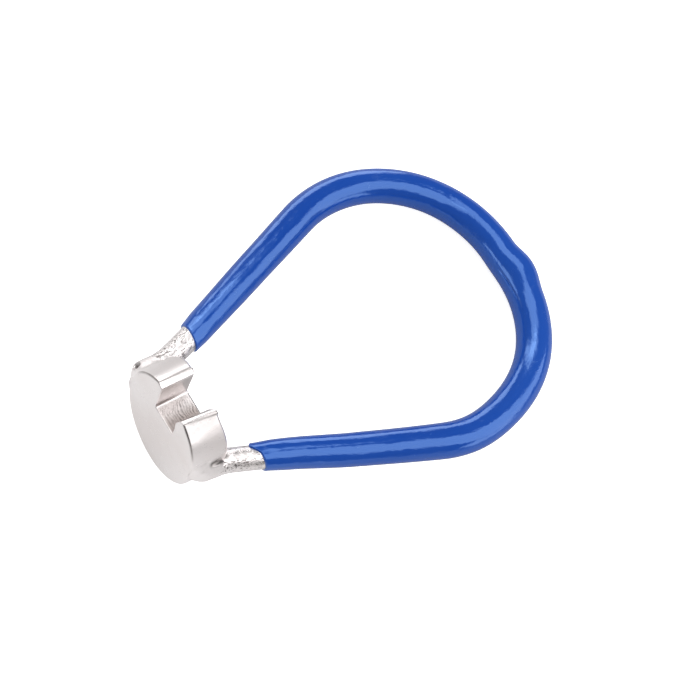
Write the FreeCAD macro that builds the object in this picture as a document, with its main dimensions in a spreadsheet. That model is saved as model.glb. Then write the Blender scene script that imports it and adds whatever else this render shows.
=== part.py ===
import FreeCAD, Part
import math
import os

import Sketcher
from FreeCAD import Placement, Rotation, Vector

# Spoke wrench: a C-shaped steel jaw on a bent steel rod whose loop is dipped in vinyl.
# Frame: origin in the middle of the slot's floor, where the nipple rests. +X runs along the
# nipple and the handle, from the jaw to the loop's end, and +Z points out of the slot.

doc = FreeCAD.newDocument("spoke_wrench")

# Millimetres and degrees.
DIMENSIONS = {
    # slot: a long wall on +Y, a short one with a lead-in on -Y
    "nipple_width": 3.96,
    "slot_clearance": 0.14,
    "long_wall": 5.45,
    "short_wall": 3.4,
    "lead_in_width": 0.7,
    "lead_in_height": 1.8,
    "tip_slope": 24.0,
    # jaw: an oval disc
    "jaw_thickness": 4.7,
    "jaw_half_width": 7.35,
    "jaw_half_height": 9.65,
    "jaw_drop": 3.0,
    "edge_break": 0.2,
    # rod: stubs half sunk in the jaw's flanks, ending a setback behind its front face, then
    # splayed legs that begin a gap behind the jaw, round corners and a short flat end
    "rod_diameter": 3.25,
    "rod_end_flat": 0.25,
    "rod_setback": 0.75,
    "loop_drop": 3.6,
    "stub_standoff": 0.1,
    "stub_bend": 6.0,
    "leg_gap": 0.39,
    "leg_angle": 21.5,
    "corner_radius": 18.0,
    "end_flat": 3.2,
    # vinyl coat: the bare length between jaw and dip line, and the diameters at the dip line,
    # at the legs' ends and at the loop's end
    "bare_length": 5.05,
    "coat_at_dip": 3.8,
    "coat_at_corner": 4.9,
    "coat_at_end": 5.2,
    "coat_overrun": 2.0,
    "nub_offset": 1.9,
    "nub_height": 0.8,
    "nub_half_length": 5.5,
    "nub_half_depth": 2.2,
    # weld beads
    "weld_radius": 1.45,
    "weld_half_length": 1.85,
    "weld_inset": 0.35,
}


def make_sheet():
    sheet = doc.addObject("Spreadsheet::Sheet", "dimensions")
    for row, (alias, value) in enumerate(DIMENSIONS.items(), start=1):
        sheet.set("A%d" % row, alias)
        sheet.set("B%d" % row, str(value))
        sheet.setAlias("B%d" % row, alias)
    doc.recompute()
    return sheet


sheet = make_sheet()


class Measure:
    """A size as a number, for placing geometry, and as the expression that drives it."""

    def __init__(self, value, text):
        self.value = value
        self.text = text

    def __add__(self, other):
        return Measure(self.value + other.value, "(%s + %s)" % (self.text, other.text))

    def __sub__(self, other):
        return Measure(self.value - other.value, "(%s - %s)" % (self.text, other.text))

    def __mul__(self, factor):
        if isinstance(factor, Measure):
            return Measure(self.value * factor.value, "(%s * %s)" % (self.text, factor.text))
        return Measure(self.value * factor, "(%s * %r)" % (self.text, factor))

    def __truediv__(self, factor):
        if isinstance(factor, Measure):
            return Measure(self.value / factor.value, "(%s / %s)" % (self.text, factor.text))
        return Measure(self.value / factor, "(%s / %r)" % (self.text, factor))

    def __neg__(self):
        return self * -1


def size(alias):
    return Measure(float(sheet.get(alias)), "dimensions." + alias)


def sine(angle):
    return Measure(math.sin(math.radians(angle.value)), "sin(%s * 1 deg)" % angle.text)


def cosine(angle):
    return Measure(math.cos(math.radians(angle.value)), "cos(%s * 1 deg)" % angle.text)


def tangent(angle):
    return Measure(math.tan(math.radians(angle.value)), "tan(%s * 1 deg)" % angle.text)


ZERO = Measure(0.0, "0")

# Sizes that follow from the driving ones.
slot_half = (size("nipple_width") + size("slot_clearance")) / 2
jaw_back = size("jaw_thickness") / 2
rod_start_x = size("rod_setback") - jaw_back
stub_y = size("jaw_half_width") + size("stub_standoff")
loop_plane = -size("loop_drop")
leg_x = jaw_back + size("leg_gap")
corner_y = size("end_flat") / 2
leg_end_y = corner_y + size("corner_radius") * cosine(size("leg_angle"))
leg_end_x = leg_x + (leg_end_y - stub_y) / tangent(size("leg_angle"))
corner_x = leg_end_x + size("corner_radius") * sine(size("leg_angle"))
loop_end_x = corner_x + size("corner_radius")
dip_x = jaw_back + size("bare_length")
coat_start_x = dip_x - size("coat_overrun")
coat_start_y = stub_y + (coat_start_x - leg_x) * tangent(size("leg_angle"))


def new_body(label):
    body = doc.addObject("PartDesign::Body", label)
    body.Label = label
    return body


def new_sketch(body, role, name):
    """Sketch on one of the body's own origin planes."""
    sketch = body.newObject("Sketcher::SketchObject", name)
    plane = next(item for item in body.Origin.OriginFeatures if item.Role == role)
    sketch.AttachmentSupport = [(plane, "")]
    sketch.MapMode = "FlatFace"
    return sketch


def shift_sketch(sketch, axis, distance):
    """Move a sketch along its own x, y or z axis."""
    sketch.setExpression("AttachmentOffset.Base." + axis, distance.text)


def drive(sketch, kind, arguments, measure):
    """Add a dimension to a sketch and bind it to the sheet."""
    value = math.radians(measure.value) if kind == "Angle" else measure.value
    index = sketch.addConstraint(Sketcher.Constraint(kind, *arguments, value))
    text = measure.text + " * 1 deg" if kind == "Angle" else measure.text
    sketch.setExpression("Constraints[%d]" % index, text)


def place_point(sketch, geometry, point, across, up):
    """Fix a point of a sketch at two distances from the sketch's origin."""
    for kind, line, distance in (("DistanceX", -2, across), ("DistanceY", -1, up)):
        if distance is ZERO:
            sketch.addConstraint(Sketcher.Constraint("PointOnObject", geometry, point, line))
        else:
            drive(sketch, kind, (-1, 1, geometry, point), distance)


def draw_circle(sketch, radius, across=ZERO, up=ZERO):
    circle = Part.Circle(Vector(across.value, up.value, 0), Vector(0, 0, 1), radius.value)
    index = sketch.addGeometry(circle, False)
    drive(sketch, "Radius", (index,), radius)
    place_point(sketch, index, 3, across, up)


def draw_outline(sketch, corners):
    """Closed outline of straight edges through corners given as (across, up)."""
    points = [Vector(across.value, up.value, 0) for across, up in corners]
    edges = [
        sketch.addGeometry(Part.LineSegment(start, end), False)
        for start, end in zip(points, points[1:] + points[:1])
    ]
    for edge, following in zip(edges, edges[1:] + edges[:1]):
        sketch.addConstraint(Sketcher.Constraint("Coincident", edge, 2, following, 1))
    for edge, (across, up) in zip(edges, corners):
        place_point(sketch, edge, 1, across, up)


def draw_loop_end(sketch):
    """Two round corners joined by the short flat end; returns the corners, +Y first."""
    radius = size("corner_radius")
    turn = math.pi / 2 + math.radians(size("leg_angle").value)
    corners = []
    for side, first, last in ((1, 0, turn), (-1, -turn, 0)):
        center = Vector(corner_x.value, side * corner_y.value, 0)
        circle = Part.Circle(center, Vector(0, 0, 1), radius.value)
        corners.append(sketch.addGeometry(Part.ArcOfCircle(circle, first, last), False))
    flat_start = Vector(loop_end_x.value, corner_y.value, 0)
    flat_end = Vector(loop_end_x.value, -corner_y.value, 0)
    flat = sketch.addGeometry(Part.LineSegment(flat_start, flat_end), False)
    sketch.addConstraint(Sketcher.Constraint("Tangent", corners[0], 1, flat, 1))
    sketch.addConstraint(Sketcher.Constraint("Tangent", corners[1], 2, flat, 2))
    sketch.addConstraint(Sketcher.Constraint("Symmetric", flat, 1, flat, 2, -1))
    sketch.addConstraint(Sketcher.Constraint("Equal", corners[0], corners[1]))
    drive(sketch, "Radius", (corners[0],), radius)
    place_point(sketch, corners[0], 3, corner_x, corner_y)
    return corners


def draw_leg(sketch, corner, side, start):
    """Straight leg from a start point to the end of its round corner."""
    end = Vector(leg_end_x.value, side * leg_end_y.value, 0)
    leg = sketch.addGeometry(Part.LineSegment(start, end), False)
    sketch.addConstraint(Sketcher.Constraint("Tangent", leg, 2, corner, 2 if side > 0 else 1))
    drive(sketch, "Angle", (leg,), size("leg_angle") * side)
    return leg


def draw_stub(sketch, leg, side):
    """Run parallel to X beside the jaw, with a small bend into the leg."""
    angle = math.radians(size("leg_angle").value)
    bend = size("stub_bend").value
    offset = stub_y.value
    bend_x = leg_x.value - bend * math.tan(angle / 2)
    circle = Part.Circle(Vector(bend_x, side * (offset + bend), 0), Vector(0, 0, 1), bend)
    first, last = (-math.pi / 2, angle - math.pi / 2) if side > 0 else (math.pi / 2 - angle, math.pi / 2)
    small = sketch.addGeometry(Part.ArcOfCircle(circle, first, last), False)
    start = Vector(rod_start_x.value, side * offset, 0)
    stub = sketch.addGeometry(Part.LineSegment(start, Vector(bend_x, side * offset, 0)), False)
    near, far = (1, 2) if side > 0 else (2, 1)
    sketch.addConstraint(Sketcher.Constraint("Tangent", stub, 2, small, near))
    sketch.addConstraint(Sketcher.Constraint("Tangent", small, far, leg, 1))
    sketch.addConstraint(Sketcher.Constraint("Horizontal", stub))
    drive(sketch, "Radius", (small,), size("stub_bend"))
    place_point(sketch, stub, 1, rod_start_x, stub_y * side)


def draw_rod_line(sketch):
    """Centreline of the whole rod: stub, leg, corner, end, corner, leg, stub."""
    angle = math.radians(size("leg_angle").value)
    bend = size("stub_bend").value
    start_x = leg_x.value + bend * math.tan(angle / 2) * math.cos(angle)
    start_y = stub_y.value + bend * (1 - math.cos(angle))
    for side, corner in zip((1, -1), draw_loop_end(sketch)):
        leg = draw_leg(sketch, corner, side, Vector(start_x, side * start_y, 0))
        draw_stub(sketch, leg, side)


def draw_coat_line(sketch):
    """Centreline of the dipped length, begun a little before the dip line."""
    for side, corner in zip((1, -1), draw_loop_end(sketch)):
        start = Vector(coat_start_x.value, side * coat_start_y.value, 0)
        leg = draw_leg(sketch, corner, side, start)
        drive(sketch, "DistanceX", (-1, 1, leg, 1), coat_start_x)


def sweep(body, kind, name, sections, spine):
    """Sweep one section along a spine, or pass through several in order."""
    pipe = body.newObject("PartDesign::" + kind, name)
    pipe.Profile = sections[0]
    pipe.Spine = (spine, [])
    if len(sections) > 1:
        pipe.Transformation = "Multisection"
        pipe.Sections = [(section, [""]) for section in sections[1:]]
    return pipe


def pad_both_ways(body, name, sketch, length):
    pad = body.newObject("PartDesign::Pad", name)
    pad.Profile = sketch
    pad.SideType = "Symmetric"
    pad.setExpression("Length", length.text)
    return pad


def cut_through(body, name, sketch):
    """Pocket through the whole body, both ways from the sketch."""
    pocket = body.newObject("PartDesign::Pocket", name)
    pocket.Profile = sketch
    pocket.SideType = "Symmetric"
    pocket.Type = "ThroughAll"
    return pocket


def edges_where(shape, test):
    """Names of the edges whose ends and middle all pass a test of their position."""
    names = []
    for number, edge in enumerate(shape.Edges, start=1):
        first, last = edge.ParameterRange
        places = [edge.valueAt(first + (last - first) * part) for part in (0, 0.3, 0.7, 1)]
        if all(test(place) for place in places):
            names.append("Edge%d" % number)
    return names


def on_oval(place):
    """Whether a point lies on the jaw's oval: (y / half width)^2 + (z / half height)^2 = 1."""
    across = place.y / size("jaw_half_width").value
    up = (place.z + size("jaw_drop").value) / size("jaw_half_height").value
    return abs(across * across + up * up - 1) < 1e-3


def round_edges(body, name, base, edges, radius):
    fillet = body.newObject("PartDesign::Fillet", name)
    fillet.Base = (base, edges)
    fillet.setExpression("Radius", radius.text)
    return fillet


def make_jaw_head():
    """Oval steel disc with the nipple slot cut from its top and, from behind, the stubs' seats."""
    body = new_body("jaw_head")
    disc = new_sketch(body, "YZ_Plane", "disc_outline")
    center_z = -size("jaw_drop").value
    top = Vector(0, center_z + size("jaw_half_height").value, 0)
    flank = Vector(size("jaw_half_width").value, center_z, 0)
    oval = disc.addGeometry(Part.Ellipse(top, flank, Vector(0, center_z, 0)), False)
    disc.exposeInternalGeometry(oval)
    long_axis, short_axis = oval + 1, oval + 2
    disc.addConstraint(Sketcher.Constraint("Vertical", long_axis))
    drive(disc, "Distance", (long_axis,), size("jaw_half_height") * 2)
    drive(disc, "Distance", (short_axis,), size("jaw_half_width") * 2)
    place_point(disc, oval, 3, ZERO, -size("jaw_drop"))
    pad_both_ways(body, "disc", disc, size("jaw_thickness"))

    slot = new_sketch(body, "YZ_Plane", "slot_outline")
    above = size("jaw_half_height")
    slope = tangent(size("tip_slope"))
    beyond = size("jaw_half_width")
    lead_top_y = slot_half + size("lead_in_width")
    lead_top_z = size("short_wall") + size("lead_in_height")
    draw_outline(slot, [
        (slot_half, ZERO),
        (slot_half, size("long_wall")),
        (beyond, size("long_wall") + (beyond - slot_half) * slope),
        (beyond, above),
        (-beyond, above),
        (-beyond, lead_top_z + (beyond - lead_top_y) * slope),
        (-lead_top_y, lead_top_z),
        (-slot_half, size("short_wall")),
        (-slot_half, ZERO),
    ])
    cut_through(body, "slot", slot)

    doc.recompute()
    rims = edges_where(body.Shape, lambda place: abs(abs(place.x) - jaw_back.value) < 1e-4 and on_oval(place))
    round_edges(body, "rims", body.Tip, rims, size("edge_break"))

    seats = new_sketch(body, "YZ_Plane", "stub_seats")
    shift_sketch(seats, "z", rod_start_x)
    for side in (1, -1):
        draw_circle(seats, size("rod_diameter") / 2, stub_y * side, loop_plane)
    pocket = body.newObject("PartDesign::Pocket", "seats")
    pocket.Profile = seats
    pocket.Type = "ThroughAll"
    pocket.Reversed = True
    return body


def make_handle_rod():
    """Round steel rod bent into the loop, with both ends laid in the jaw's seats."""
    body = new_body("handle_rod")
    line = new_sketch(body, "XY_Plane", "rod_line")
    shift_sketch(line, "z", loop_plane)
    draw_rod_line(line)
    section = new_sketch(body, "YZ_Plane", "rod_section")
    shift_sketch(section, "z", rod_start_x)
    draw_circle(section, size("rod_diameter") / 2, stub_y, loop_plane)
    doc.recompute()
    sweep(body, "AdditivePipe", "rod", [section], line)
    doc.recompute()
    rims = edges_where(body.Shape, lambda place: abs(place.x - rod_start_x.value) < 1e-4)
    round_edges(body, "rod_ends", body.Tip, rims, (size("rod_diameter") - size("rod_end_flat")) / 2)
    return body


def square_to_leg(body, name, diameter, along_x, along_y, side):
    """Round section square to a leg, at a point of the leg's centreline."""
    section = new_sketch(body, "YZ_Plane", name)
    turn = size("leg_angle") * side
    section.AttachmentOffset = Placement(Vector(), Rotation(Vector(0, 1, 0), turn.value))
    section.setExpression("AttachmentOffset.Rotation.Angle", turn.text + " * 1 deg")
    shift_sketch(section, "x", along_y * side)
    shift_sketch(section, "y", loop_plane)
    shift_sketch(section, "z", along_x)
    draw_circle(section, diameter / 2)
    return section


def make_vinyl_grip():
    """Dipped sleeve: thin at the dip line, thicker towards the end, where a drip has set."""
    body = new_body("vinyl_grip")
    line = new_sketch(body, "XY_Plane", "coat_line")
    shift_sketch(line, "z", loop_plane)
    draw_coat_line(line)
    end_section = new_sketch(body, "XZ_Plane", "coat_section_end")
    draw_circle(end_section, size("coat_at_end") / 2, loop_end_x, loop_plane)
    dip = {}
    corner = {}
    for side, word in ((1, "left"), (-1, "right")):
        dip[side] = square_to_leg(
            body, "coat_section_dip_" + word, size("coat_at_dip"), coat_start_x, coat_start_y, side
        )
        corner[side] = square_to_leg(
            body, "coat_section_corner_" + word, size("coat_at_corner"), leg_end_x, leg_end_y, side
        )
    doc.recompute()
    sections = [dip[1], corner[1], end_section, corner[-1], dip[-1]]
    sweep(body, "AdditivePipe", "coat", sections, line)

    nub = body.newObject("PartDesign::AdditiveEllipsoid", "nub")
    nub.setExpression("Radius1", size("nub_half_depth").text)
    nub.setExpression("Radius2", (size("coat_at_end") / 2).text)
    nub.setExpression("Radius3", size("nub_half_length").text)
    nub.setExpression("Placement.Base.x", (loop_end_x + size("nub_height")).text)
    nub.setExpression("Placement.Base.y", (-size("nub_offset")).text)
    nub.setExpression("Placement.Base.z", loop_plane.text)
    doc.recompute()

    bore = square_to_leg(body, "bore_section", size("rod_diameter"), coat_start_x, coat_start_y, 1)
    doc.recompute()
    sweep(body, "SubtractivePipe", "bore", [bore], line)

    trim = new_sketch(body, "XY_Plane", "dip_trim")
    reach = leg_end_y + size("coat_at_corner")
    draw_outline(trim, [
        (ZERO, reach), (ZERO, -reach), (dip_x, -reach), (dip_x, reach),
    ])
    cut_through(body, "dip_cut", trim)
    return body


def make_weld_bead(label, jaw, side, above):
    """Fillet weld in the corner between a stub and the jaw's flank, above or below the stub."""
    bead = doc.addObject("Part::Ellipsoid", label + "_metal")
    bead.setExpression("Radius1", size("weld_half_length").text)
    bead.setExpression("Radius2", size("weld_radius").text)
    bead.Placement.Rotation = Rotation(Vector(0, -side, 0), Vector(), Vector(1, 0, 0), "ZXY")
    bead.setExpression("Placement.Base.y", ((stub_y - size("weld_inset")) * side).text)
    bead.setExpression("Placement.Base.z", (loop_plane + size("rod_diameter") / 2 * above).text)
    stub = doc.addObject("Part::Cylinder", label + "_stub")
    stub.setExpression("Radius", (size("rod_diameter") / 2).text)
    stub.setExpression("Height", (size("weld_half_length") * 2).text)
    stub.Placement.Rotation = Rotation(Vector(0, 1, 0), 90)
    stub.setExpression("Placement.Base.x", (-size("weld_half_length")).text)
    stub.setExpression("Placement.Base.y", (stub_y * side).text)
    stub.setExpression("Placement.Base.z", loop_plane.text)
    off_stub = doc.addObject("Part::Cut", label + "_off_stub")
    off_stub.Base = bead
    off_stub.Tool = stub
    weld = doc.addObject("Part::Cut", label)
    weld.Base = off_stub
    weld.Tool = jaw
    weld.Label = label
    return weld


jaw_head = make_jaw_head()
doc.recompute()
handle_rod = make_handle_rod()
vinyl_grip = make_vinyl_grip()
pieces = [jaw_head, handle_rod, vinyl_grip]
for side, side_word in ((1, "left"), (-1, "right")):
    for above, level_word in ((1, "top"), (-1, "bottom")):
        label = "weld_bead_%s_%s" % (side_word, level_word)
        pieces.append(make_weld_bead(label, jaw_head, side, above))
doc.recompute()

for item in doc.Objects:
    if "Invalid" in item.State or "Error" in item.State:
        raise RuntimeError("%s did not compute: %s" % (item.Name, item.State))
for piece in pieces:
    if piece.Shape.isNull() or not piece.Shape.isValid():
        raise RuntimeError("%s has no valid shape" % piece.Label)

os.makedirs("parts", exist_ok=True)
for piece in pieces:
    piece.Shape.exportStep("parts/%s.step" % piece.Label)
    box = piece.Shape.BoundBox
    print("%-24s solids %d volume %9.2f  x %.2f..%.2f y %.2f..%.2f z %.2f..%.2f" % (
        piece.Label, len(piece.Shape.Solids), piece.Shape.Volume,
        box.XMin, box.XMax, box.YMin, box.YMax, box.ZMin, box.ZMax,
    ))
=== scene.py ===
import math

import bmesh
import bpy
import numpy as np
from mathutils import Matrix, Vector


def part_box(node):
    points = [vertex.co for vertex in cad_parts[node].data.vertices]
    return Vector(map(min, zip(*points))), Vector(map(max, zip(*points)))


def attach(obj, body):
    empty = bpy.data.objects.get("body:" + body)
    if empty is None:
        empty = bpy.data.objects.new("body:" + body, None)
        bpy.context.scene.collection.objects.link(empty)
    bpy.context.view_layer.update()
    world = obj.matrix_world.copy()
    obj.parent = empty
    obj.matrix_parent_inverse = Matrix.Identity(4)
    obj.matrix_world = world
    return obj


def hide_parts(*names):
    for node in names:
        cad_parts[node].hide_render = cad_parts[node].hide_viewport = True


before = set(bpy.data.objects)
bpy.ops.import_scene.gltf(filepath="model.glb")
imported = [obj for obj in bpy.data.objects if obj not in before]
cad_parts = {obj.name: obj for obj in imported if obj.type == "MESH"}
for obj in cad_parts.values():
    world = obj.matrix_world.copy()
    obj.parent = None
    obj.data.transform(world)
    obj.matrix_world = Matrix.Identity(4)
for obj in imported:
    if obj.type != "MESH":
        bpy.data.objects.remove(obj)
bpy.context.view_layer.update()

MM = 0.001


# ---------------------------------------------------------------------------------------------
# Jaw. A short length of steel bar with an oval section, sawn off square, with one slot end-milled
# across it to take the nipple. Its tips are cut back at a slope, and it is nickel plated.

jaw_low, jaw_high = (np.array(corner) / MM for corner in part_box("jaw_head"))
jaw_half_thickness = jaw_high[0]
oval_half_width = jaw_high[1]
oval_half_height = 9.65
oval_drop = 3.0
oval_fall = 0.42
slot_half = 2.05
long_wall, short_wall = 5.45, 3.4
lead_in_width, lead_in_height = 0.7, 1.8
left_tip_y, right_tip_y = 2.91, -3.42
rim_round, rear_rim_round = 0.22, 0.45
slot_edge_round, slot_rear_round = 0.13, 0.2
left_swell, right_swell = 0.5, 0.55
cutter_radius, cutter_y = 2.7, -0.3
mill_depth, mill_pitch = 0.012, 0.36
outline_step = 0.07
rows_across = 72


def oval_height(y):
    """Height of the oval's upper side at y: half height * sqrt(1 - (y / half width) squared)."""
    return oval_half_height * np.sqrt(1 - (y / oval_half_width) ** 2) - oval_drop


left_tip = left_tip_y + oval_height(left_tip_y) * 1j
right_tip = right_tip_y + oval_height(right_tip_y) * 1j


def bump(distance, reach):
    """Rounded step: 1 at no distance, falling as (1 - (distance / reach) squared) squared to 0."""
    return np.clip(1 - (distance / reach) ** 2, 0, 1) ** 2


def eased(outline, spread):
    """Closed curve with its corners rounded: every point is averaged with its neighbours under a
    bell curve of that spread, done as a product in the curve's frequencies."""
    rates = np.fft.fftfreq(outline.size) / outline_step
    return np.fft.ifft(np.fft.fft(outline) * np.exp(-2 * (math.pi * rates * spread) ** 2))


def jaw_outline():
    """The jaw seen from behind, as numbers y + z i at even steps: down the left wall, across the
    slot's floor, up the right wall, out over its sloped tip, and round the oval to the left tip.
    Its corners are eased, the one where the left wall meets the floor the most."""
    lead_in_top = -slot_half - lead_in_width + (short_wall + lead_in_height) * 1j
    slot = np.array([left_tip, slot_half + long_wall * 1j, slot_half, -slot_half,
                     -slot_half + short_wall * 1j, lead_in_top, right_tip])
    start = math.pi - math.asin((right_tip.imag + oval_drop) / oval_half_height)
    stop = math.tau + math.asin((left_tip.imag + oval_drop) / oval_half_height)
    turn = np.linspace(start, stop, 800)[1:]
    oval = oval_half_width * np.cos(turn) + (oval_half_height * np.sin(turn) - oval_drop) * 1j
    sharp = np.concatenate([slot, oval])
    reach = np.concatenate([[0], np.cumsum(np.abs(np.diff(sharp)))])
    even = np.linspace(0, reach[-1], int(reach[-1] / outline_step), endpoint=False)
    outline = np.interp(even, reach, sharp.real) + 1j * np.interp(even, reach, sharp.imag)
    corner = bump(np.abs(outline - slot_half), 1.4)
    return eased(outline, 0.07) * (1 - corner) + eased(outline, 0.26) * corner


def grid_mesh(name, points, marks):
    """Mesh of a grid of points in mm, rows by columns, closed round the columns, which run
    anticlockwise seen from the last row, so that faces point outwards. Each end row gets one flat
    face. marks are values per point, kept as named attributes for the materials."""
    rows, columns = points.shape[:2]
    index = np.arange(rows * columns).reshape(rows, columns)
    here, after = index[:-1], index[1:]
    quads = np.stack([here, np.roll(here, -1, axis=1), np.roll(after, -1, axis=1), after], axis=-1)
    faces = quads.reshape(-1, 4).tolist() + [index[0][::-1].tolist(), index[-1].tolist()]
    mesh = bpy.data.meshes.new(name)
    mesh.from_pydata((points.reshape(-1, 3) * MM).tolist(), [], faces)
    mesh.polygons.foreach_set("use_smooth", [True] * (len(faces) - 2) + [False] * 2)
    for label, values in marks.items():
        kind, slot = ("FLOAT_VECTOR", "vector") if values.ndim == 3 else ("FLOAT", "value")
        mesh.attributes.new(label, kind, "POINT").data.foreach_set(slot, np.float32(values).ravel())
    piece = bpy.data.objects.new(name, mesh)
    bpy.context.scene.collection.objects.link(piece)
    return piece


def ramp(value, low, high):
    """Smooth step from 0 at low to 1 at high: 3 t squared - 2 t cubed."""
    t = np.clip((value - low) / (high - low), 0, 1)
    return t * t * (3 - 2 * t)


def wave_noise(a, b, seed, octaves, size):
    """Smooth unevenness between about -1 and 1: a sum of sines over two coordinates, each octave
    twice as fine and half as strong, with directions and phases drawn from a seed."""
    draw = np.random.default_rng(seed)
    total = 0
    for octave in range(octaves):
        for wave in range(4):
            angle, phase = draw.uniform(0, math.tau, 2)
            rate = math.tau * 2 ** octave * draw.uniform(0.7, 1.3) / size
            total = total + np.sin((a * math.cos(angle) + b * math.sin(angle)) * rate + phase) / 2 ** octave
    return total / 4


def soft_rim(y, z):
    """How much rounder the jaw's rim is beside the right weld, where the braze ran over it."""
    return 0.75 * bump(np.hypot(y + 7.2, z + 3.4), 3.8)


def hand_finish(x, y, z, in_slot):
    """Moves the plain bar's points as sawing and filing left them: towards the back the oval falls
    a little, the right tip stands slightly askew, and the back swells towards both welds."""
    back = (x + jaw_half_thickness) / (2 * jaw_half_thickness)
    z = z - oval_fall * back * ramp(z, -1.0, 4.5) * (1 - in_slot)
    tip = ramp(z, 1.5, 5.0) * ramp(-y, 1.5, 2.0) * (1 - ramp(-y, 3.6, 6.0))
    swell = left_swell * ramp(y, 1.9, 4.8) + right_swell * ramp(-y, 3.4, 6.8)
    return x + swell * ramp(back, 0.3, 1.0), y + (0.08 - 0.1 * x) * tip, z


def cutter_arcs(x, y):
    """What the end mill left on the slot's floor, -1..1: cos of tau * (x + sqrt(radius squared -
    off squared)) / pitch, where off is how far y is from the middle of the cutter's path. Chatter
    throws the pitch off, and the strength is uneven."""
    off = y - cutter_y
    arc = x + np.sqrt(np.clip(cutter_radius ** 2 - off ** 2, 0, None))
    chatter = wave_noise(x, y, seed=21, octaves=2, size=2.1)
    strength = 0.55 + 0.45 * wave_noise(x, y, seed=8, octaves=2, size=1.7)
    return np.cos(math.tau * arc / mill_pitch + 3.4 * chatter) * strength


def jaw_marks(outline, slot_side, x, y, z):
    """Two marks of 0..1, both painted shade. The first is dark lines along the front rim beside both
    teeth and along the edges of both tips. inside: darker in the slot, its walls evenly and its floor
    ever more towards the right, but not the rounded corner on the left."""
    beside_teeth = ramp(outline.imag, 0.3, 3.0) * (1 - slot_side.real)
    front_line = bump(x + jaw_half_thickness - 0.10, 0.16) * beside_teeth
    tip_line = bump(np.minimum(np.abs(outline - left_tip), np.abs(outline - right_tip)), 0.2)
    inside = eased(slot_side, 0.1).real * ramp(5.3 - outline.imag, 0.0, 0.6)
    inside = inside * ramp(jaw_half_thickness - np.abs(x), 0.1, 0.3)
    # Painted shade in the slot: walls evenly darker, floor darker towards the right corner.
    slot_shade = np.where(z < 0.25, 0.05 + 0.8 * ramp(-y, -1.3, 0.9), 0.5)
    left_corner = bump(np.abs(outline - slot_half - 0.1j), 0.6)
    return np.maximum(front_line, tip_line), inside * slot_shade * (1 - 0.9 * left_corner)


def make_jaw():
    """The outline carried from the front face to the back one. Near a face it draws in by
    round * (1 - sin t) while x moves by round * (1 - cos t), and on the slot's floor the cutter's
    arcs stand up as low ridges."""
    outline = jaw_outline()
    ahead = np.roll(outline, -1) - np.roll(outline, 1)
    outward = -1j * ahead / np.abs(ahead)
    slot_side = ((np.abs(outline.real + 0.25) < 3.15) & (outline.imag > -0.3)).astype(complex)
    front_round = eased(slot_side * slot_edge_round + (1 - slot_side) * rim_round, 0.35).real
    front_round = front_round + soft_rim(outline.real, outline.imag)
    rear_round = eased(slot_side * slot_rear_round + (1 - slot_side) * rear_rim_round, 0.35).real
    turn = np.concatenate([[0], np.linspace(0, math.pi / 2, 8)])[:, None]
    inner_x = np.linspace(front_round - jaw_half_thickness, jaw_half_thickness - rear_round, rows_across)
    inner_x = inner_x[1:-1]
    x = np.concatenate([(1 - np.cos(turn)) * front_round - jaw_half_thickness, inner_x,
                        jaw_half_thickness - (1 - np.cos(turn[::-1])) * rear_round])
    inset = np.concatenate([(1 - np.sin(turn)) * front_round, 0 * inner_x,
                            (1 - np.sin(turn[::-1])) * rear_round])
    inset[[0, -1]] += 0.06
    place = outline - outward * inset
    on_floor = ramp(slot_half - np.abs(place.real), 0.0, 0.6) * (np.abs(place.imag) < 0.25)
    on_floor = on_floor * ramp(jaw_half_thickness - np.abs(x), 0.1, 0.5)
    x, y, z = hand_finish(x, place.real, place.imag, eased(slot_side, 0.2).real)
    arcs = cutter_arcs(x, y)
    z = z + mill_depth * on_floor * arcs
    # Both marks are painted shade: dark lines on the edges and a darker slot.
    painted_shade_mark, inside = jaw_marks(outline, slot_side, x, y, z)
    marks = {"painted_shade_mark": painted_shade_mark, "milled": on_floor * (0.5 - 0.5 * arcs), "inside": inside}
    for values in marks.values():
        values[[0, -1]] = 0
    piece = grid_mesh("jaw_surface", np.stack([x, y, z], axis=-1), marks)
    cut_back_face(piece.data)
    return piece


def cut_back_face(mesh):
    """Cuts the jaw's back, so far one many-sided face, into upright strips 0.2 mm wide, because it
    swells across its width and one face would break into odd triangles."""
    shape = bmesh.new()
    shape.from_mesh(mesh)
    shape.faces.ensure_lookup_table()
    back = shape.faces[-1]
    strips = [back, *back.edges, *back.verts]
    for y in np.arange(-7.1, 7.2, 0.2):
        cut = bmesh.ops.bisect_plane(shape, geom=strips, plane_co=(0, y * MM, 0), plane_no=(0, 1, 0),
                                     dist=1e-7)
        strips = cut["geom"]
    for face in strips:
        if isinstance(face, bmesh.types.BMFace):
            face.smooth = True
    shape.to_mesh(mesh)
    shape.free()


jaw = make_jaw()


def add_node(tree, kind, inputs=None, **settings):
    """Adds a shader node with its own settings. Each input is joined to a socket or given a value."""
    made = tree.nodes.new("ShaderNode" + kind)
    for label, value in settings.items():
        setattr(made, label, value)
    for label, value in (inputs or {}).items():
        if isinstance(value, bpy.types.NodeSocket):
            tree.links.new(value, made.inputs[label])
        else:
            made.inputs[label].default_value = value
    return made


def effect_group(name, inputs, outputs):
    """Empty shader node group with named inputs, each with its usual value, and named outputs.
    Returns the group, its input sockets and the node that takes its outputs."""
    group = bpy.data.node_groups.new(name, "ShaderNodeTree")
    for label, usual in inputs.items():
        kind = "NodeSocketVector" if usual is None else "NodeSocketFloat"
        socket = group.interface.new_socket(name=label, in_out="INPUT", socket_type=kind)
        if usual is not None:
            socket.default_value = usual
    for label in outputs:
        group.interface.new_socket(name=label, in_out="OUTPUT", socket_type="NodeSocketFloat")
    return group, group.nodes.new("NodeGroupInput").outputs, group.nodes.new("NodeGroupOutput")


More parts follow.
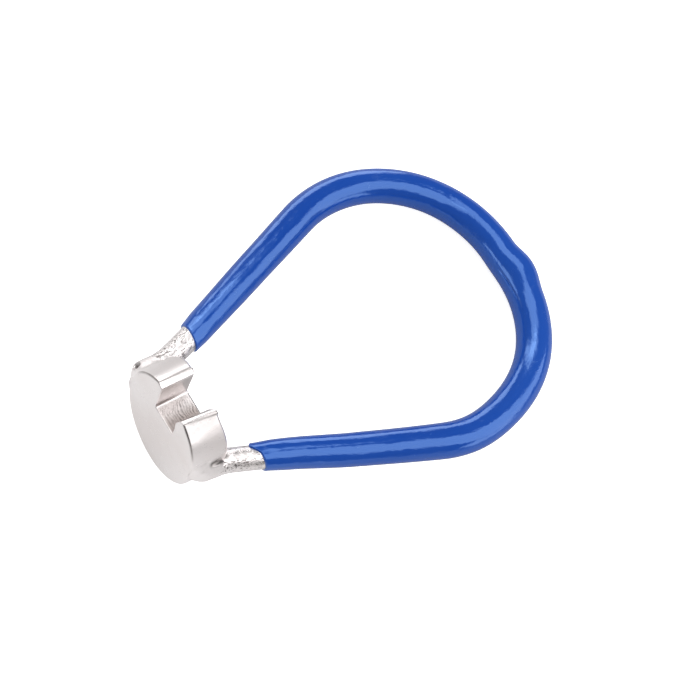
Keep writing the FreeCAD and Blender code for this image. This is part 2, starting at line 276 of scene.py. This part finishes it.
def sized(group, vector, size):
    """The vector divided by a size, so that one unit of a pattern is that many millimetres."""
    over = add_node(group, "Math", {0: 1.0, 1: size}, operation="DIVIDE").outputs[0]
    return add_node(group, "VectorMath", {0: vector, "Scale": over}, operation="SCALE").outputs["Vector"]


def make_uneven_surface():
    """Height: fine grain of one size. Patch: soft patches ten times as large, spread to 0..1."""
    inputs = {"Vector": None, "Size": 0.3}
    group, given, taken = effect_group("uneven_surface", inputs, ["Height", "Patch"])
    place = sized(group, given["Vector"], given["Size"])
    fine = add_node(group, "TexNoise", {"Vector": place, "Scale": 1.0, "Detail": 4.0, "Roughness": 0.55})
    soft = add_node(group, "TexNoise", {"Vector": place, "Scale": 0.1, "Detail": 2.0})
    spread = add_node(group, "MapRange", {"Value": soft.outputs["Fac"], "From Min": 0.35, "From Max": 0.65})
    group.links.new(fine.outputs["Fac"], taken.inputs["Height"])
    group.links.new(spread.outputs["Result"], taken.inputs["Patch"])
    return group


def make_fine_scratches():
    """Mask of thin short scratches, all lying one way: the narrow band where a noise stretched
    twelve times crosses its middle value, kept only where a second noise is above the cover."""
    inputs = {"Vector": None, "Size": 0.5, "Cover": 0.6}
    group, given, taken = effect_group("fine_scratches", inputs, ["Mask"])
    place = sized(group, given["Vector"], given["Size"])
    turned = add_node(group, "Mapping", {"Vector": place, "Rotation": (0.3, 0.5, 0.9),
                                         "Scale": (0.16, 2.0, 2.0)})
    lines = add_node(group, "TexNoise", {"Vector": turned.outputs["Vector"], "Scale": 1.0, "Detail": 1.0})
    off = add_node(group, "Math", {0: lines.outputs["Fac"], 1: 0.5}, operation="SUBTRACT")
    away = add_node(group, "Math", {0: off.outputs[0]}, operation="ABSOLUTE")
    thin = add_node(group, "MapRange", {"Value": away.outputs[0], "From Min": 0.0, "From Max": 0.02,
                                        "To Min": 1.0, "To Max": 0.0})
    where = add_node(group, "TexNoise", {"Vector": place, "Scale": 0.45, "Detail": 1.0})
    kept = add_node(group, "Math", {0: where.outputs["Fac"], 1: given["Cover"]}, operation="GREATER_THAN")
    mask = add_node(group, "Math", {0: thin.outputs["Result"], 1: kept.outputs[0]}, operation="MULTIPLY")
    group.links.new(mask.outputs[0], taken.inputs["Mask"])
    return group


def make_pitting():
    """Mask and depth of small pits: where a noise of one size falls under a level, softened."""
    inputs = {"Vector": None, "Size": 0.25, "Level": 0.42}
    group, given, taken = effect_group("pitting", inputs, ["Mask", "Height"])
    place = sized(group, given["Vector"], given["Size"])
    holes = add_node(group, "TexNoise", {"Vector": place, "Scale": 1.0, "Detail": 3.0, "Roughness": 0.6})
    under = add_node(group, "Math", {0: given["Level"], 1: holes.outputs["Fac"]}, operation="SUBTRACT")
    mask = add_node(group, "MapRange", {"Value": under.outputs[0], "From Min": 0.0, "From Max": 0.07})
    height = add_node(group, "Math", {0: 1.0, 1: mask.outputs["Result"]}, operation="SUBTRACT")
    group.links.new(mask.outputs["Result"], taken.inputs["Mask"])
    group.links.new(height.outputs[0], taken.inputs["Height"])
    return group


uneven_surface, fine_scratches, pitting = make_uneven_surface(), make_fine_scratches(), make_pitting()


def material(name):
    """A node material, its tree and its Principled shader."""
    made = bpy.data.materials.new(name)
    made.use_nodes = True
    return made, made.node_tree, made.node_tree.nodes["Principled BSDF"]


def effect(tree, group, **values):
    """Places an effect group in a material with its own values, and returns its outputs."""
    placed = add_node(tree, "Group", node_tree=group)
    for label, value in values.items():
        if isinstance(value, bpy.types.NodeSocket):
            tree.links.new(value, placed.inputs[label])
        else:
            placed.inputs[label].default_value = value
    return placed.outputs


def mark(tree, name):
    """The value that the mesh keeps for each point under a name."""
    return add_node(tree, "Attribute", attribute_name=name).outputs["Fac"]


def in_millimetres(tree):
    """Object coordinates, which are metres, times 1000."""
    metres = add_node(tree, "TexCoord").outputs["Object"]
    return add_node(tree, "VectorMath", {0: metres, "Scale": 1000.0}, operation="SCALE").outputs["Vector"]


def mixed(tree, share, first, second):
    """Colour between two others: first where share is 0, second where it is 1."""
    blend = add_node(tree, "Mix", data_type="RGBA")
    tree.links.new(share, blend.inputs["Factor"])
    for socket, colour in ((blend.inputs[6], first), (blend.inputs[7], second)):
        if isinstance(colour, bpy.types.NodeSocket):
            tree.links.new(colour, socket)
        else:
            socket.default_value = colour
    return blend.outputs[2]


def calculated(tree, operation, first, second):
    """Result of one Math node."""
    return add_node(tree, "Math", {0: first, 1: second}, operation=operation).outputs[0]


def between(tree, share, low, high):
    """A share of 0..1 spread to run from low to high."""
    return add_node(tree, "MapRange", {"Value": share, "To Min": low, "To Max": high}).outputs["Result"]


def raised(tree, height, depth_mm, under=None):
    """Normal of a surface with that height map, whose full height is depth_mm."""
    inputs = {"Height": height, "Strength": 1.0, "Distance": depth_mm * MM}
    if under:
        inputs["Normal"] = under
    return add_node(tree, "Bump", inputs).outputs["Normal"]


nickel = (0.78, 0.74, 0.735, 1)
warm_nickel = (0.70, 0.64, 0.62, 1)
shaded_slot_nickel = (0.27, 0.225, 0.21, 1)
dark_film_and_shade = (0.10, 0.085, 0.078, 1)


def finish_jaw_metal():
    """Satin nickel: soft warmer patches, fine bright scratches, a dark film between the cutter's arcs,
    and painted shade: dark lines along the marked edges and a darker inside of the slot."""
    made, tree, shader = material("jaw_nickel")
    place = in_millimetres(tree)
    grain = effect(tree, uneven_surface, Vector=place, Size=0.22)
    wide = effect(tree, uneven_surface, Vector=place, Size=0.9)
    scratch = effect(tree, fine_scratches, Vector=place, Size=0.6, Cover=0.57)["Mask"]
    floor_pits = effect(tree, pitting, Vector=place, Size=0.5, Level=0.50)
    colour = mixed(tree, calculated(tree, "MULTIPLY", wide["Patch"], 0.45), nickel, warm_nickel)
    # Painted shade inside the slot.
    colour = mixed(tree, mark(tree, "inside"), colour, shaded_slot_nickel)
    in_arcs = between(tree, floor_pits["Mask"], 0.15, 0.55)
    colour = mixed(tree, calculated(tree, "MULTIPLY", mark(tree, "milled"), in_arcs), colour, dark_film_and_shade)
    # Painted shade: dark lines along the marked edges, broken up by the grain's patches.
    on_edges = between(tree, grain["Patch"], 0.55, 0.95)
    colour = mixed(tree, calculated(tree, "MULTIPLY", mark(tree, "painted_shade_mark"), on_edges), colour, dark_film_and_shade)
    tree.links.new(colour, shader.inputs["Base Color"])
    shader.inputs["Metallic"].default_value = 1.0
    rough = between(tree, wide["Patch"], 0.29, 0.37)
    rough = calculated(tree, "SUBTRACT", rough, calculated(tree, "MULTIPLY", scratch, 0.12))
    tree.links.new(rough, shader.inputs["Roughness"])
    height = calculated(tree, "SUBTRACT", grain["Height"], calculated(tree, "MULTIPLY", scratch, 0.5))
    normal = raised(tree, wide["Height"], 0.02, raised(tree, height, 0.004))
    tree.links.new(normal, shader.inputs["Normal"])
    return made


jaw_metal = finish_jaw_metal()
jaw.data.materials.append(jaw_metal)
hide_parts("jaw_head")
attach(jaw, "root")


# ---------------------------------------------------------------------------------------------
# Handle rod. One length of round steel wire, cold bent into a loop and nickel plated. Only its
# two ends show, a rough stub and a few millimetres of leg on each side of the jaw.

rod_low, rod_high = (np.array(corner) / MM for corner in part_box("handle_rod"))
rod_radius = (rod_high[2] - rod_low[2]) / 2
loop_plane = (rod_high[2] + rod_low[2]) / 2
stub_y = jaw_high[1] + 0.1
leg_angle = math.radians(21.5)
leg_meets_stub_x = jaw_high[0] + 0.39
stub_bend_radius = 6.0
end_flat = 3.2
corner_radius = rod_high[1] - rod_radius - end_flat / 2


def loop_runs():
    """Runs of the rod's centreline as (length in mm, turn in radians), from the left stub's tip
    round to the right one's: stub, small bend, leg, corner, flat end, and the same again."""
    bend = stub_bend_radius * leg_angle
    bend_start = leg_meets_stub_x - stub_bend_radius * math.tan(leg_angle / 2)
    corner_turn = math.pi / 2 + leg_angle
    rise = corner_radius * math.cos(leg_angle) + end_flat / 2 - stub_y
    leg = rise / math.sin(leg_angle) - stub_bend_radius * math.tan(leg_angle / 2)
    half = [(bend_start - rod_low[0], 0.0), (bend, leg_angle), (leg, 0.0),
            (corner_radius * corner_turn, -corner_turn)]
    return half + [(end_flat, 0.0)] + half[::-1]


def loop_line(along):
    """Points (x, y) and headings at distances along the rod. A straight run keeps its heading h;
    on an arc the heading changes evenly, so the point moves by radius * (sin h, -cos h)."""
    start, heading, passed = np.array([rod_low[0], stub_y]), 0.0, 0.0
    x, y, headings = np.zeros_like(along), np.zeros_like(along), np.zeros_like(along)
    for length, turn in loop_runs():
        local = np.clip(along - passed, 0, length)
        here = (along >= passed) | (passed == 0)
        if turn:
            radius = length / turn
            h = heading + local / radius
            dx = radius * (np.sin(h) - math.sin(heading))
            dy = radius * (math.cos(heading) - np.cos(h))
        else:
            h = np.full_like(local, heading)
            dx, dy = local * math.cos(heading), local * math.sin(heading)
        x = np.where(here, start[0] + dx, x)
        y = np.where(here, start[1] + dy, y)
        headings = np.where(here, h, headings)
        end_h = heading + turn
        if turn:
            start = start + radius * np.array([math.sin(end_h) - math.sin(heading),
                                               math.cos(heading) - math.cos(end_h)])
        else:
            start = start + length * np.array([math.cos(heading), math.sin(heading)])
        heading, passed = end_h, passed + length
    return x, y, headings


rod_length = sum(length for length, turn in loop_runs())


def sideways(x, y):
    """How far the rod was bent and welded away from true, along y: both stubs stand a little to the
    left, and the right leg runs in a slow wave."""
    wave = 0.38 * bump(x - 9.5, 9.0) - 0.18 * bump(x - 28.0, 12.0) + 0.28 * bump(x - 43.0, 9.0)
    wave = wave + 0.35 * bump(x + 1.6, 4.5)
    return 0.28 * (1 - ramp(x, 1.5, 7.5)) + wave * (y < 0)


def tube_points(along, around, radius):
    """Surface round the rod's centreline: at distance along and angle around, the point lies
    radius * (cos around outwards in the loop's plane, sin around upwards) from the line."""
    x, y, heading = loop_line(along)
    out = radius * np.cos(around)
    return np.stack([x - out * np.sin(heading), y + sideways(x, y) + out * np.cos(heading),
                     loop_plane + radius * np.sin(around)], axis=-1)


def spacing(length, fine, coarse, fine_reach):
    """Distances along a length: close together near both ends, wider in between."""
    near = np.arange(0, fine_reach, fine)
    middle = np.linspace(fine_reach, length - fine_reach, int((length - 2 * fine_reach) / coarse))
    return np.concatenate([near, middle, length - near[::-1]])[:, None]


tip_length = rod_radius * 0.92


def rod_outer_radius(along):
    """Radius at a distance along the rod: full, but a quarter ellipse over its last stretch."""
    from_tip = np.minimum(along, rod_length - along)
    inside = np.clip(1 - from_tip / tip_length, 0, 1)
    return rod_radius * np.sqrt(1 - (inside * 0.985) ** 2), inside


def unrolled(along, around, radius):
    """Where each point of a tube takes its finish from: (distance along it, radius * sin around,
    radius * cos around), as if the tube were straight."""
    ring = radius * np.sin(around), radius * np.cos(around)
    return np.stack(np.broadcast_arrays(along, *ring), axis=-1)


def from_hole(x, y, z):
    """Distance from the middle of the small hole left by the braze at the left end of the rod."""
    return np.sqrt((x + 0.95) ** 2 + (y - 8.65) ** 2 + (z - loop_plane - 1.2) ** 2)


def from_crevice(x, y, z):
    """Distance from the thin dark gap that the braze left open behind the right tooth, which is a
    straight line here: the nearest point is a share of 0..1 of the way along it."""
    start, way = np.array([0.7, -7.60, -1.05]), np.array([2.3, 0.45, -0.95])
    off = [x - start[0], y - start[1], z - start[2]]
    share = np.clip(sum(a * b for a, b in zip(off, way)) / (way @ way), 0, 1)
    return np.sqrt(sum((a - share * b) ** 2 for a, b in zip(off, way)))


def make_handle_rod():
    """The rod as a tube, its surface uneven by a few hundredths of a millimetre, with the hole."""
    around = np.linspace(0, math.tau, 110, endpoint=False)[None, :]
    along = spacing(rod_length, fine=0.06, coarse=0.8, fine_reach=14.0)
    radius, inside = rod_outer_radius(along)
    drawn = wave_noise(along, around * rod_radius, seed=3, octaves=3, size=2.4)
    radius = radius + 0.018 * drawn * (1 - inside)
    points = tube_points(along + 0 * around, around + 0 * along, radius)
    hole = bump(from_hole(*np.moveaxis(points, -1, 0)), 0.9)
    points = tube_points(along + 0 * around, around + 0 * along, radius - 0.5 * hole)
    # Painted shade: dark in the hole and along the crevice.
    dark = np.maximum(hole, 0.8 * bump(from_crevice(*np.moveaxis(points, -1, 0)), 0.45))
    marks = {"lengthways": unrolled(along, around, rod_radius), "painted_shade_mark": dark}
    return grid_mesh("rod_surface", points, marks)


rod = make_handle_rod()


def stretched(tree, vector, share):
    """The vector with its first part, the distance along a piece, times a share."""
    by = (share, 1.0, 1.0)
    return add_node(tree, "VectorMath", {0: vector, 1: by}, operation="MULTIPLY").outputs["Vector"]


def finish_raw_metal(name, stretch, pit_level, depth, smoothest):
    """Nickel over a rough skin: pits drawn out along the piece, dark inside and crowded in streaks,
    between bright ridges that throw the light about, and painted shade in the small hole and the gap that
    the braze left open."""
    made, tree, shader = material(name)
    lengthways = add_node(tree, "Attribute", attribute_name="lengthways").outputs["Vector"]
    run = stretched(tree, lengthways, stretch)
    ridges = effect(tree, uneven_surface, Vector=run, Size=0.17)
    swells = effect(tree, uneven_surface, Vector=run, Size=0.7)
    streaks = effect(tree, uneven_surface, Vector=stretched(tree, run, 0.25), Size=0.11)["Patch"]
    crowded = between(tree, streaks, pit_level - 0.08, pit_level + 0.06)
    pits = effect(tree, pitting, Vector=run, Size=0.17, Level=crowded)
    scratch = effect(tree, fine_scratches, Vector=run, Size=0.35, Cover=0.5)["Mask"]
    colour = mixed(tree, calculated(tree, "MULTIPLY", swells["Patch"], 0.5), nickel, warm_nickel)
    colour = mixed(tree, calculated(tree, "MULTIPLY", pits["Mask"], 0.85), colour, dark_film_and_shade)
    # Painted shade in the hole and the crevice.
    colour = mixed(tree, calculated(tree, "MULTIPLY", mark(tree, "painted_shade_mark"), 0.9), colour, dark_film_and_shade)
    tree.links.new(colour, shader.inputs["Base Color"])
    shader.inputs["Metallic"].default_value = 1.0
    rough = between(tree, ridges["Patch"], smoothest, smoothest + 0.12)
    rough = calculated(tree, "SUBTRACT", rough, calculated(tree, "MULTIPLY", scratch, 0.06))
    tree.links.new(rough, shader.inputs["Roughness"])
    normal = raised(tree, ridges["Height"], 0.045 * depth)
    normal = raised(tree, pits["Height"], 0.02, normal)
    normal = raised(tree, swells["Height"], 0.05, normal)
    tree.links.new(normal, shader.inputs["Normal"])
    return made


rod_metal = finish_raw_metal("rod_nickel", stretch=0.5, pit_level=0.455, depth=1.0, smoothest=0.26)
rod.data.materials.append(rod_metal)
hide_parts("handle_rod")
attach(rod, "root")


# ---------------------------------------------------------------------------------------------
# Weld beads. Braze metal runs along each stub above and below, and pulls the jaw's flank and the
# rod's end into one smooth shape; on the left a small hole was left in front of the rod's end.

wedge = math.radians(104)
bead_front, bead_back = -2.36, 4.2
no_hole = -9.0


def jaw_distance(x, y, z, side):
    """Distance to the jaw's oval bar with rounded rims: beyond both a side and a face it is the
    length of the two overshoots together."""
    rim = rim_round + soft_rim(side * y, z) * (x < 0)
    p, q = y / oval_half_width, (z + oval_drop) / oval_half_height
    level = np.sqrt(p ** 2 + q ** 2)
    slope = np.sqrt((p / oval_half_width) ** 2 + (q / oval_half_height) ** 2) / level
    flank = (level - 1) / slope + rim
    face = np.abs(x) - jaw_half_thickness + rim
    outside = np.hypot(np.maximum(flank, 0), np.maximum(face, 0))
    return outside + np.minimum(np.maximum(flank, face), 0) - rim


def stub_distance(x, y, z, side):
    """Distance to the rod's first stretch: round its centreline, and round its tip as a ball
    stretched to the tip's length."""
    local = x - rod_low[0]
    line_y, heading = loop_line(np.maximum(local, 0))[1:]
    line_y = line_y + side * sideways(x, side)
    across = np.hypot((y - line_y) * np.cos(heading), z - loop_plane)
    before = np.maximum(tip_length - local, 0) * rod_radius / tip_length
    return np.hypot(across, before) - rod_radius


def make_weld_bead(name, side, above, blend, rise, reach, hole_size):
    """Rays leave a line inside the joint at angles up to the wedge. Each ends where the blend of
    jaw and rod ends, that is where smaller distance - (strength - difference)^2 / (4 * strength) is
    nothing, found by halving a bracket. The blend's strength fades towards the leg and the wedge's
    far side, where the surface sinks into jaw and rod. The hole's ball and the crevice's groove
    are taken out, and the wedge closes on the line."""
    x = np.linspace(bead_front, bead_back, 110)[:, None]
    angle = np.linspace(-0.12, 1.0, 90)[None, :] * wedge
    core_y, core_z = stub_y - 0.45, loop_plane
    share = bump(np.clip(x - 0.3, 0, None), reach) * ramp(-angle, -wedge, -math.radians(84))
    strength = (blend + rise * above * np.sin(angle)) * share + 0.001
    sunk = 0.015 + 0.25 * (1 - share) ** 2

    def depth(radius):
        y, z = core_y + radius * np.cos(angle), core_z + above * radius * np.sin(angle)
        jaw_away, rod_away = jaw_distance(x, y, z, side), stub_distance(x, y, z, side)
        overlap = np.clip(strength - np.abs(jaw_away - rod_away), 0, None)
        ripple = 0.02 * wave_noise(x, z, seed=5 + above, octaves=3, size=1.6) * np.clip(overlap, 0, 1)
        filled = np.minimum(jaw_away, rod_away) - overlap ** 2 / (4 * strength) + sunk + ripple
        filled = filled + 0.4 * bump(from_crevice(*hand_finish(x, side * y, z, 0)), 0.5)
        return np.maximum(filled, hole_size - from_hole(x, y, z))

    low = np.zeros(np.broadcast(x, angle).shape)
    high = low + 6.5
    for halving in range(28):
        middle = (low + high) / 2
        inside = depth(middle) < 0
        low, high = np.where(inside, middle, low), np.where(inside, high, middle)
    radius = np.concatenate([low, np.zeros((x.size, 1))], axis=1)
    angle = np.concatenate([angle, [[0.0]]], axis=1)
    y = core_y + radius * np.cos(angle)
    z = core_z + above * radius * np.sin(angle)
    finished = hand_finish(x + 0 * y, side * y, z, 0)
    # Painted shade: dark in the hole and along the crevice.
    dark = np.maximum(bump(from_hole(x, y, z), 0.8) * (hole_size > 0), bump(from_crevice(*finished), 0.85))
    points = np.stack(finished, axis=-1)
    if side * above < 0:
        points, dark = points[:, ::-1], dark[:, ::-1]
    return grid_mesh(name, points, {"lengthways": points, "painted_shade_mark": dark})


weld_metal = finish_raw_metal("weld_nickel", stretch=0.8, pit_level=0.27, depth=0.3, smoothest=0.32)
for corner, side, above, blend, rise, reach, hole_size in (("left_top", 1, 1, 2.0, 0.0, 2.9, 0.6),
                                                           ("left_bottom", 1, -1, 2.0, 0.0, 2.9, no_hole),
                                                           ("right_top", -1, 1, 1.6, 0.8, 2.6, no_hole),
                                                           ("right_bottom", -1, -1, 1.6, 0.8, 2.6, no_hole)):
    bead = make_weld_bead(f"weld_{corner}_surface", side, above, blend, rise, reach, hole_size)
    bead.data.materials.append(weld_metal)
    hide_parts(f"weld_bead_{corner}")
    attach(bead, "root")


# ---------------------------------------------------------------------------------------------
# Vinyl grip. The loop was dipped, jaw upwards, in liquid vinyl: the coat ends on one level line
# across both legs, grows thicker down the loop, and its last drip set as a nub at the end.

coat_low, coat_high = (np.array(corner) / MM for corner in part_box("vinyl_grip"))
dip_x = coat_low[0]
coat_at_dip = 1.9
coat_at_corner = 2.45
coat_at_end = (coat_high[2] - coat_low[2]) / 2
nub_y, nub_around = -2.5, 0.8
nub_height = 0.55
crease_along, crease_reach = 66.5, 5.4
crease_width, crease_depth = 0.13, 0.20
lip = 0.18


def make_vinyl_grip():
    """A tube whose radius grows evenly down the leg and on round the corner, with slow waves and a
    little more just below the dip line. There it leans so that both ends lie level, and a drip runs
    on over the right one; its lip is a quarter circle. The nub adds a rounded hill, and the crease
    beside it takes out a narrow groove, exp of -(distance / width) squared, on a slanting line."""
    around = np.linspace(0, math.tau, 150, endpoint=False)[None, :]
    leg_start = sum(length for length, turn in loop_runs()[:2])
    leg_x = loop_line(np.array([leg_start]))[0][0]
    dip_along = leg_start + (dip_x - leg_x) / math.cos(leg_angle)
    length = rod_length - 2 * dip_along
    along = spacing(length, fine=0.05, coarse=0.3, fine_reach=1.2)
    edge = np.minimum(along, length - along)
    leg_length = loop_runs()[2][0] - (dip_along - leg_start)
    corner_length = loop_runs()[3][0] + end_flat / 2
    radius = np.where(edge < leg_length,
                      coat_at_dip + (coat_at_corner - coat_at_dip) * edge / leg_length,
                      coat_at_corner + (coat_at_end - coat_at_corner) * (edge - leg_length) / corner_length)
    radius = radius - 0.10 * bump(edge, 2.5) + 0.10 * bump(edge - 5, 20) + 0 * around
    roll = np.sqrt(np.clip(1 - (1 - edge / lip) ** 2, 0, 1)) * (edge < lip) + (edge >= lip)
    radius = (rod_radius - 0.05) + (radius - rod_radius + 0.05) * roll
    line_y = loop_line(dip_along + along)[1]
    nub_reach = np.where(line_y > nub_y, 3.9, 4.0)
    from_nub = np.angle(np.exp(1j * (around - nub_around)))
    nub = bump((line_y - nub_y) / nub_reach, 1.0) * bump(from_nub, 1.9)
    crease_around = np.interp(along - crease_along, [-5.1, 0, 5.1], [2.78, 2.67, 2.45])
    from_crease = (around - crease_around) * radius
    crease = bump(along - crease_along, crease_reach) * np.exp(-(from_crease / crease_width) ** 2)
    wavy = wave_noise(along, around * 2.2, seed=11, octaves=2, size=13.0)
    radius = radius + nub_height * nub - crease_depth * crease + 0.02 * wavy * np.clip(edge / 3, 0, 1)
    slant = np.clip(1 - edge / 8, 0, 1) * np.where(along < length / 2, 1, -1)
    drip = (0.45 + 0.75 * bump(around - 2.3, 0.8)) * (along > length / 2) * np.clip(1 - edge / 4, 0, 1)
    place = dip_along + along + radius * np.cos(around) * math.tan(leg_angle) * slant + drip
    marks = {"lengthways": unrolled(along, around, 2.4)}
    return grid_mesh("vinyl_coat", tube_points(place, around + 0 * along, radius), marks)


grip = make_vinyl_grip()
deep_blue = (0.003, 0.039, 0.262, 1)
light_blue = (0.007, 0.053, 0.305, 1)
dust = (0.10, 0.16, 0.36, 1)


def finish_vinyl():
    """Glossy dipped vinyl: slow waves left by the flow, a trace of orange peel, slightly lighter
    where the coat is thin, with a few scuffs and specks of dust."""
    made, tree, shader = material("blue_vinyl")
    place = in_millimetres(tree)
    lengthways = add_node(tree, "Attribute", attribute_name="lengthways").outputs["Vector"]
    flow = effect(tree, uneven_surface, Vector=stretched(tree, lengthways, 0.35), Size=1.6)
    peel = effect(tree, uneven_surface, Vector=place, Size=0.5)
    scuff = effect(tree, fine_scratches, Vector=place, Size=0.9, Cover=0.62)["Mask"]
    specks = effect(tree, pitting, Vector=place, Size=0.22, Level=0.30)["Mask"]
    colour = mixed(tree, flow["Patch"], deep_blue, light_blue)
    scuffed, dusted = calculated(tree, "MULTIPLY", scuff, 0.10), calculated(tree, "MULTIPLY", specks, 0.5)
    colour = mixed(tree, calculated(tree, "MAXIMUM", scuffed, dusted), colour, dust)
    tree.links.new(colour, shader.inputs["Base Color"])
    gloss, rubbed = between(tree, peel["Patch"], 0.09, 0.15), calculated(tree, "MULTIPLY", scuff, 0.15)
    tree.links.new(calculated(tree, "ADD", gloss, rubbed), shader.inputs["Roughness"])
    shader.inputs["IOR"].default_value = 2.05
    shader.inputs["Specular Tint"].default_value = (0.33, 0.58, 1.0, 1)
    normal = raised(tree, flow["Height"], 0.10, raised(tree, peel["Height"], 0.004))
    tree.links.new(normal, shader.inputs["Normal"])
    return made


vinyl = finish_vinyl()
grip.data.materials.append(vinyl)
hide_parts("vinyl_grip")
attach(grip, "root")


# ---------------------------------------------------------------------------------------------
# Table, light and camera. The wrench lies on a white table, among six softboxes and in front of a
# camera that stand where the photograph's highlights and its edges put them.

solid_nub_height = 0.8
table_gap = 0.02


def floor_tilt():
    """Angle about Y of the plane that the wrench lies on: it touches the jaw's lower rear edge
    and the round underside of the loop's end."""
    run = coat_high[0] - coat_at_end - solid_nub_height - jaw_high[0]
    rise = loop_plane - jaw_low[2]
    return math.atan2(rise, run) - math.asin(coat_at_end / math.hypot(run, rise))


tilt = floor_tilt()
floor_up = Vector((-math.sin(tilt), 0, math.cos(tilt)))
floor_point = (Vector((jaw_high[0], 0, jaw_low[2])) - floor_up * table_gap) * MM
bpy.ops.mesh.primitive_plane_add(size=4)
table = bpy.context.object
table.name = "table"
table.matrix_world = Matrix.Translation(floor_point) @ Matrix.Rotation(-tilt, 4, "Y")
table_finish, tree, shader = material("table_white")
shader.inputs["Roughness"].default_value = 0.9
shader.inputs["Specular IOR Level"].default_value = 0.0
shader.inputs["Emission Color"].default_value = (1, 1, 1, 1)
# In reflections the table is darker, but for a pale glowing patch in front of the jaw: painted light that
# only the reflections show.
path = add_node(tree, "LightPath").outputs
tree.links.new(between(tree, path["Is Glossy Ray"], 0.8, 0.42), shader.inputs["Base Color"])
in_view = calculated(tree, "MULTIPLY", path["Is Camera Ray"], 0.75)
place = add_node(tree, "TexCoord").outputs["Object"]
place_x = add_node(tree, "SeparateXYZ", {"Vector": place}).outputs["X"]
near_jaw = add_node(tree, "MapRange", {"Value": place_x, "From Min": -0.002, "From Max": 0.016,
                                       "To Min": 0.42, "To Max": 0.02}).outputs["Result"]
in_gloss = calculated(tree, "MULTIPLY", path["Is Glossy Ray"], near_jaw)
tree.links.new(calculated(tree, "MAXIMUM", in_view, in_gloss), shader.inputs["Emission Strength"])
table.data.materials.append(table_finish)

world = bpy.data.worlds.new("studio")
bpy.context.scene.world = world
world.use_nodes = True
background = world.node_tree.nodes["Background"]
background.inputs["Color"].default_value = (1, 1, 1, 1)
path = add_node(world.node_tree, "LightPath").outputs
softened = between(world.node_tree, path["Is Glossy Ray"], 0.6, 0.2)
shown = calculated(world.node_tree, "MAXIMUM", softened, path["Is Camera Ray"])
world.node_tree.links.new(shown, background.inputs["Strength"])

right = Vector((0.8021, -0.5303, 0.2747))
up = Vector((0.4028, 0.8199, 0.4067))
toward = Vector((-0.4409, -0.2156, 0.8713))
wrench_middle = Vector((28.0, 0.0, -3.6)) * MM
lamp_distance = 0.6


def softbox(name, direction, along, width, height, radiance):
    """Rectangular lamp facing the wrench from a direction, its width lying along another, both
    given as (right, up, towards the camera). Its power is pi * area * radiance."""
    lamp = bpy.data.lights.new(name, "AREA")
    lamp.shape = "RECTANGLE"
    lamp.size, lamp.size_y = width, height
    lamp.energy = math.pi * width * height * radiance
    box = bpy.data.objects.new(name, lamp)
    bpy.context.scene.collection.objects.link(box)
    way = (right * direction[0] + up * direction[1] + toward * direction[2]).normalized()
    across = right * along[0] + up * along[1] + toward * along[2]
    side = (across - way * across.dot(way)).normalized()
    turned = Matrix((side, way.cross(side), way)).transposed().to_4x4()
    box.matrix_world = Matrix.Translation(wrench_middle + way * lamp_distance) @ turned


softbox("right_front_wall", (0.72, 0.03, 0.69), (1, 0, -1), width=1.1, height=0.54, radiance=2.08)
softbox("low_right_box", (0.85, -0.47, 0.05), (1, 0, -1), width=0.4, height=0.22, radiance=2.05)
softbox("back_wall", (-0.09, 0.95, -0.25), (1, 0, 0), width=0.5, height=0.36, radiance=2.6)
softbox("overhead_strip", (0.05, 0.69, 0.72), (0.70, -0.23, 0.24), width=0.50, height=0.36, radiance=2.05)
softbox("left_box", (-0.87, 0.00, 0.48), (0, 1, 0), width=0.30, height=0.20, radiance=2.2)
softbox("back_left_box", (-0.22, 0.90, 0.37), (0.62, 0.02, 0.35), width=0.54, height=0.12, radiance=2.9)

camera_data = bpy.data.cameras.new("camera")
camera_data.sensor_width = 36
camera_data.lens = 66.86
camera_data.clip_start = 0.005
camera = bpy.data.objects.new("camera", camera_data)
bpy.context.scene.collection.objects.link(camera)
camera_place = Vector((-50.57, -39.26, 148.08)) * MM
camera.matrix_world = Matrix.Translation(camera_place) @ Matrix((right, up, toward)).transposed().to_4x4()
bpy.context.scene.camera = camera
bpy.context.scene.view_settings.view_transform = "Standard"
